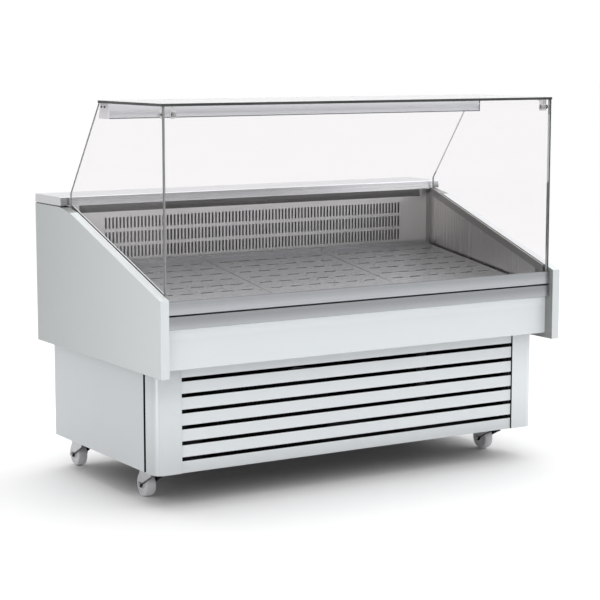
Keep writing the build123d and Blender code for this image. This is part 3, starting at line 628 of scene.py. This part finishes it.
# The two ends differ in painted light and shade: the tones of the sloped tops, front ends, corner posts and
# glass seats, and dark and pale stretches of painted reflection on the front edge of the right pane
dress_side(
    "left", outward="-X", inward="+X", slope=painted_slope_shade, end_share=0.95, seat=steel, tint=pane_tint,
    post_grade=counted_from(post_foot, (0, 0.78), (0.10, 0.905), (0.16, 0.95), (0.215, 0.95), (0.26, 0.86)),
    pane_edge=[(0.70, 0.42), (1.20, 0.42)],
)
dress_side(
    "right", outward="+X", inward="-X", slope=shade(painted_slope_shade, 1.09), end_share=0.88,
    seat=shade(liner_grey, 0.82), tint=clear_tint,
    post_grade=counted_from(post_foot, (0, 0.90), (0.04, 0.95), (0.11, 1.03), (0.185, 1.05), (0.26, 1.02)),
    pane_edge=[(0.70, 0.50), (0.735, 0.24), (0.940, 0.24), (0.950, 0.78), (1.165, 0.78), (1.172, 0.40)],
)

# Cabinet and tub
dress(slat_sheet("slat_paint"), "louvre_slats")
# Painted shade: the rear sheet is a darker copy of the white, and near-black inside
dress(painted("back_paint", rear_painted_shade_white, roughness=0.40, painted_shade_sides=("-Y",)), "base_back")
# Painted shade: a near-black base floor under the cabinet
dress(plated("galvanised", (0.05, 0.05, 0.052), roughness=0.5), "base_floor")
dress(painted("white_paint", white), "tank_front")
# Painted shade: the duct wall is a darker copy of the white and darker still inside, and the tub floor is
# near-black below and in front
dress(painted("duct_paint", rear_painted_shade_white, roughness=0.40, painted_side_shade={("-Y",): 0.48}), "tank_back")
dress(painted("tub_paint", white, roughness=0.42, painted_shade_sides=("-Z", "-Y")), "tank_floor")

# Front
# Painted light on the top of the front panel
panel_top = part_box("front_panel")[1][2]
panel_grade = counted_from(panel_top, (-0.034, 1.0), (-0.014, 1.12), (0, 1.26))
dress(regrade(painted("panel_paint", white), panel_grade), "front_panel")
# Painted reflection by height on the front band and rail
band_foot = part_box("front_band")[0][2]
band_grade = counted_from(band_foot, (0.004, 1.22), (0.010, 1.15), (0.018, 1.00), (0.026, 0.88))
band_steel = brushed("band_steel", shade(cool_steel, 0.725), along="X", roughness=0.32)
dress(regrade(band_steel, band_grade), "front_band")
rail_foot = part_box("front_rail")[0][2]
rail_grade = counted_from(rail_foot, (0.004, 1.28), (0.012, 1.25), (0.022, 1.10), (0.032, 0.97))
# Painted shade on the top faces of the front rail and the sheet steel
top_painted_shade = {("+Z",): 0.55}
rail_steel = brushed("rail_steel", shade(cool_steel, 0.76), along="X", roughness=0.32, painted_side_shade=top_painted_shade)
dress(regrade(rail_steel, rail_grade), "front_rail")

# Worktop, grille and deck
trim_plastic = trim_strip("trim_plastic", lower=(0.115, 0.115, 0.113), upper=(0.26, 0.26, 0.255))
dress(trim_plastic, "worktop_trim")
dress(worktop_sheet("bright_steel"), "worktop")
dress(grille_sheet("grille_steel"), "air_grille")
sheet_steel = brushed("sheet_steel", shade(steel, 0.76), along="X", roughness=0.32, painted_side_shade=top_painted_shade)
dress(sheet_steel, "fan_plate", "deck_ledge_front", "deck_ledge_rear")
deck_steel = brushed("deck_steel", shade(steel, 0.92), along="Y", roughness=0.30)
for tray in trays:
    dress(deck_steel, f"deck_tray_{tray}")

# Canopy
dress(float_glass("front_glass", "Y", pane_tint, edge_low=0.10, edge_high=0.26), "front_glass")
dress(float_glass("top_glass", "Z", top_tint, edge_low=0.02, edge_high=0.10), "top_glass")
dress(plated("bright_metal", (0.78, 0.79, 0.80), roughness=0.34), "glass_clips")
dress(plated("bolt_metal", (0.40, 0.405, 0.405), roughness=0.38), "glass_bolts")
# Painted light and shade by height on the lamp housing
lamp_grade = counted_from(lamp_low[2], (0.005, 1.34), (0.015, 0.95), (0.030, 1.30), (0.044, 1.38))
satin_aluminium = brushed("satin_aluminium", (0.565, 0.58, 0.595), along="X", roughness=0.40)
dress(regrade(satin_aluminium, lamp_grade), "lamp_housing")
dress(opal("opal_lens"), "lamp_diffuser")
dress(end_cap("cap_plastic"), "lamp_caps")

# Refrigeration and switch
black_enamel = painted("black_enamel", (0.010, 0.010, 0.011), roughness=0.4)
dress(black_enamel, "condenser_shroud", "condenser_motor", "compressor", "fan_motors")
# Near-black condenser coil and fan
dark_fins = brushed("dark_fins", (0.045, 0.045, 0.047), along="Z", roughness=0.6)
dress(dark_fins, "condenser_coil", "condenser_fan")
dress(fin_aluminium, "evaporator_coil")
dress(moulded("drain_plastic", (0.10, 0.10, 0.11), roughness=0.5), "drip_tray", "drain_spigot")
dress(moulded("dark_plastic", (0.055, 0.055, 0.058), roughness=0.5), "control_panel")
dress(moulded("rocker_plastic", (0.012, 0.012, 0.013), roughness=0.25), "rocker_main")

# Casters
# Caster plates: darker all over and darker still below, as painted shade under the base
dress(plated("plate_zinc", (0.30, 0.30, 0.31), roughness=0.42, painted_side_shade={("-Z",): 0.15}), "caster_plates")
wheel_rubber = moulded("wheel_rubber", (0.66, 0.657, 0.675), roughness=0.48)
for corner in corners:
    dress(fork_plate(f"fork_zinc_{corner}", hubs[corner]), f"caster_fork_{corner}")
    dress(wheel_rubber, f"caster_wheel_{corner}")


# Fasteners and thin trim

ring_steps = 24
bead_steps = 10
sharp_angle = math.radians(35)


def turn_shape(builder, rings, spot, facing):
    """Add a closed shape of rings about an axis; a ring has a radius, a height and may be six-sided."""
    place = Matrix.Translation(spot) @ Vector(facing).to_track_quat("Z", "Y").to_matrix().to_4x4()
    loops = []
    for radius, height, six_sided in rings:
        loop = []
        for step in range(ring_steps):
            angle = 2 * math.pi * step / ring_steps
            reach = radius
            if six_sided:
                reach /= math.cos((angle + math.pi / 6) % (math.pi / 3) - math.pi / 6)
            rim = Vector((reach * math.cos(angle), reach * math.sin(angle), height))
            loop.append(builder.verts.new(place @ rim))
        loops.append(loop)
    for lower, upper in zip(loops, loops[1:]):
        for step in range(ring_steps):
            after = (step + 1) % ring_steps
            builder.faces.new((lower[step], lower[after], upper[after], upper[step]))
    builder.faces.new(loops[0][::-1])
    builder.faces.new(loops[-1])


def place_piece(name, builder, made, body):
    """Turn a built mesh into a piece that a body of the model carries."""
    mesh = bpy.data.meshes.new(name)
    builder.to_mesh(mesh)
    builder.free()
    mesh.shade_smooth()
    mesh.set_sharp_from_angle(angle=sharp_angle)
    mesh.materials.append(made)
    piece = bpy.data.objects.new(name, mesh)
    bpy.context.scene.collection.objects.link(piece)
    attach(piece, body)


def fasten(name, made, rings, spots, body="cabinet"):
    """One piece with a fastener at each spot, carried by a body of the model."""
    builder = bmesh.new()
    for spot, facing in spots:
        turn_shape(builder, rings, spot, facing)
    place_piece(name, builder, made, body)


def socket_screw(radius, height):
    """Rings of a domed head with a six-sided socket."""
    return (
        (radius, 0, False),
        (radius, 0.35 * height, False),
        (0.88 * radius, 0.75 * height, False),
        (0.60 * radius, height, False),
        (0.42 * radius, height, True),
        (0.42 * radius, 0.35 * height, True),
    )


def hexagon_head(half_flats, height, thread=0):
    """Rings of a chamfered six-sided head or nut, with the end of a thread where there is one."""
    rings = [
        (half_flats, 0, True),
        (half_flats, 0.82 * height, True),
        (0.93 * half_flats, height, False),
    ]
    if thread:
        rings += [
            (0.60 * half_flats, height, False),
            (0.60 * half_flats, height + 0.7 * thread, False),
            (0.50 * half_flats, height + thread, False),
        ]
    return rings


def half_round(name, made, ends, front, bottom, half, depth):
    """Half-round strip along X that lies with its flat side on a front face."""
    builder = bmesh.new()
    loops = []
    for x in ends:
        loop = []
        for step in range(bead_steps + 1):
            angle = math.pi * (step / bead_steps - 0.5)
            rim = (x, front - depth * math.cos(angle), bottom + half * (1 + math.sin(angle)))
            loop.append(builder.verts.new(rim))
        loops.append(loop)
    for step in range(bead_steps):
        builder.faces.new((loops[0][step], loops[0][step + 1], loops[1][step + 1], loops[1][step]))
    builder.faces.new((loops[0][0], loops[1][0], loops[1][-1], loops[0][-1]))
    builder.faces.new(loops[0][::-1])
    builder.faces.new(loops[1])
    bmesh.ops.recalc_face_normals(builder, faces=builder.faces)
    place_piece(name, builder, made, "cabinet")


black_screw = plated("black_screw", (0.02, 0.02, 0.02), roughness=0.45)
zinc = plated("zinc_plate", (0.60, 0.61, 0.62), roughness=0.42)
seal_rubber = moulded("seal_rubber", (0.22, 0.22, 0.23), roughness=0.55)

# Lamp and trim
side_glass_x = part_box("side_glass_right")[1][0]
lamp_screw_z = 1.2065
lamp_screw_y = (-0.0105, -0.033)
fasten(
    "lamp_screws", black_screw, socket_screw(radius=0.0035, height=0.0022),
    [((sign * side_glass_x, y, lamp_screw_z), (sign, 0, 0)) for sign in (-1, 1) for y in lamp_screw_y],
)
half_round(
    "lamp_bead", seal_rubber, (lamp_low[0], lamp_high[0]), front=lamp_low[1], bottom=lamp_low[2],
    half=0.0017, depth=0.0011,
)
lip_half = 0.0036
half_round(
    "trim_lip", trim_plastic, (trim_low[0], trim_high[0]), front=grille_low[1],
    bottom=trim_low[2] - 2 * lip_half, half=lip_half, depth=0.0012,
)

# Rear sheet, with no screw in its middle, and switch panel
back_low, back_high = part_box("base_back")
screw_margin = 0.014
back_x = (back_low[0] + screw_margin, 0, back_high[0] - screw_margin)
back_z = (back_low[2] + screw_margin, (back_low[2] + back_high[2]) / 2, back_high[2] - screw_margin)
fasten(
    "back_screws", zinc, socket_screw(radius=0.004, height=0.0026),
    [((x, back_high[1], z), (0, 1, 0)) for x in back_x for z in back_z if x or z != back_z[1]],
)
switch_low, switch_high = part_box("control_panel")
switch_margin = 0.007
fasten(
    "switch_panel_screws", zinc, socket_screw(radius=0.0028, height=0.0018),
    [
        ((x, switch_high[1], z), (0, 1, 0))
        for x in (switch_low[0] + switch_margin, switch_high[0] - switch_margin)
        for z in (switch_low[2] + switch_margin, switch_high[2] - switch_margin)
    ],
)

# Casters
swivel_trail = 0.030
axle_reach = 0.0253
plate_under = 0.103
plate_bolt_x = 0.032
plate_bolt_y = 0.040
plate_bolt_spots = []
for corner in corners:
    hub = hubs[corner]
    fasten(
        f"axle_nuts_{corner}", zinc, hexagon_head(half_flats=0.006, height=0.004, thread=0.002),
        [(hub + along_axle * sign * axle_reach, along_axle * sign) for sign in (-1, 1)], f"fork_{corner}",
    )
    swivel = hub - trailing * swivel_trail
    for x in (-plate_bolt_x, plate_bolt_x):
        for y in (-plate_bolt_y, plate_bolt_y):
            plate_bolt_spots.append(((swivel.x + x, swivel.y + y, plate_under), (0, 0, -1)))
fasten("plate_bolts", zinc, hexagon_head(half_flats=0.0065, height=0.0045), plate_bolt_spots)


# Floor, light and camera

floor_reach = 60
far_limit = 200

# Strength of the surroundings to the left and right, and its share to the front and back
left_strength = 0.60
right_strength = 1.64
front_share = 1.04
back_share = 0.98

# Bands of the surroundings from overhead down: between which two slopes one begins, and its strength
sky_bands = ((0.25, 0.45, 0.48), (0.08, 0.12, 1.02))


def plain_floor():
    """Large pale floor."""
    reach = floor_reach
    rim = [(-reach, -reach, 0), (reach, -reach, 0), (reach, reach, 0), (-reach, reach, 0)]
    mesh = bpy.data.meshes.new("floor")
    mesh.from_pydata(rim, [], [(0, 1, 2, 3)])
    floor = bpy.data.objects.new("floor", mesh)
    bpy.context.scene.collection.objects.link(floor)
    made, tree, shader = new_material("pale_floor")
    clouds = noise(tree, places(tree), scale=0.6)
    pale = mixed(tree, clouds, (0.94, 0.94, 0.94), (0.96, 0.96, 0.96))
    tree.links.new(pale, shader.inputs["Base Color"])
    shader.inputs["Roughness"].default_value = 0.8
    shader.inputs["Specular IOR Level"].default_value = 0
    mesh.materials.append(made)
    floor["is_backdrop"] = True


def studio_world():
    """White surroundings: bright where they meet the floor and overhead, and dimmer to the left."""
    world = bpy.data.worlds.new("studio")
    world.use_nodes = True
    tree = world.node_tree
    coordinate = tree.nodes.new("ShaderNodeTexCoord")
    split = tree.nodes.new("ShaderNodeSeparateXYZ")
    tree.links.new(coordinate.outputs["Generated"], split.inputs["Vector"])
    sideways = spread(tree, split.outputs["X"], left_strength, right_strength, start=-1, end=1)
    light = both(tree, sideways, spread(tree, split.outputs["Y"], front_share, back_share, start=-1, end=1))
    for lower, upper, strength in sky_bands:
        band = tree.nodes.new("ShaderNodeMix")
        tree.links.new(rising(tree, split.outputs["Z"], lower, upper), band.inputs["Factor"])
        band.inputs["A"].default_value = strength
        tree.links.new(light, band.inputs["B"])
        light = band.outputs["Result"]
    tree.links.new(light, tree.nodes["Background"].inputs["Strength"])
    tree.nodes["Background"].inputs["Color"].default_value = (1, 1, 1, 1)
    bpy.context.scene.world = world


def soft_panel(name, spot, target, power, size):
    """Square light that shines from a spot to a target and isn't seen itself."""
    lamp = bpy.data.lights.new(name, "AREA")
    lamp.energy = power
    lamp.size = size
    light = bpy.data.objects.new(name, lamp)
    light.location = spot
    light.visible_camera = False
    light.rotation_euler = (Vector(target) - Vector(spot)).to_track_quat("-Z", "Y").to_euler()
    bpy.context.scene.collection.objects.link(light)
    return light


def gloss_on(light, *names):
    """Let a light show only as gloss, and only on some nodes of the model."""
    light.visible_diffuse = False
    lit = bpy.data.collections.new(light.name)
    for name in names:
        lit.objects.link(nodes[name])
    light.light_linking.receiver_collection = lit


def photo_camera(spot, yaw, tilt, focal_length):
    """Camera at the viewing angle of the photograph, with angles in degrees and the lens in millimetres."""
    lens = bpy.data.cameras.new("camera")
    lens.lens = focal_length
    lens.clip_end = far_limit
    camera = bpy.data.objects.new("camera", lens)
    camera.location = spot
    camera.rotation_euler = (math.radians(90 - tilt), 0, math.radians(-yaw))
    bpy.context.scene.collection.objects.link(camera)
    bpy.context.scene.camera = camera


plain_floor()
studio_world()
soft_panel("softbox", spot=(0.1, 0.7, 4.2), target=(0.1, 0, 0), power=60, size=4.0)
edge_light = soft_panel(
    "edge_light", spot=(-4.1, -2.45, 0.25), target=(-0.72, -0.36, 0.25), power=130, size=0.5,
)
gloss_on(edge_light, "corner_post_left")
photo_camera(spot=(-3.139, -5.0996, 1.3785), yaw=31.654, tilt=7.863, focal_length=108.39)
bpy.context.scene.view_settings.view_transform = "Standard"

low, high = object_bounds()
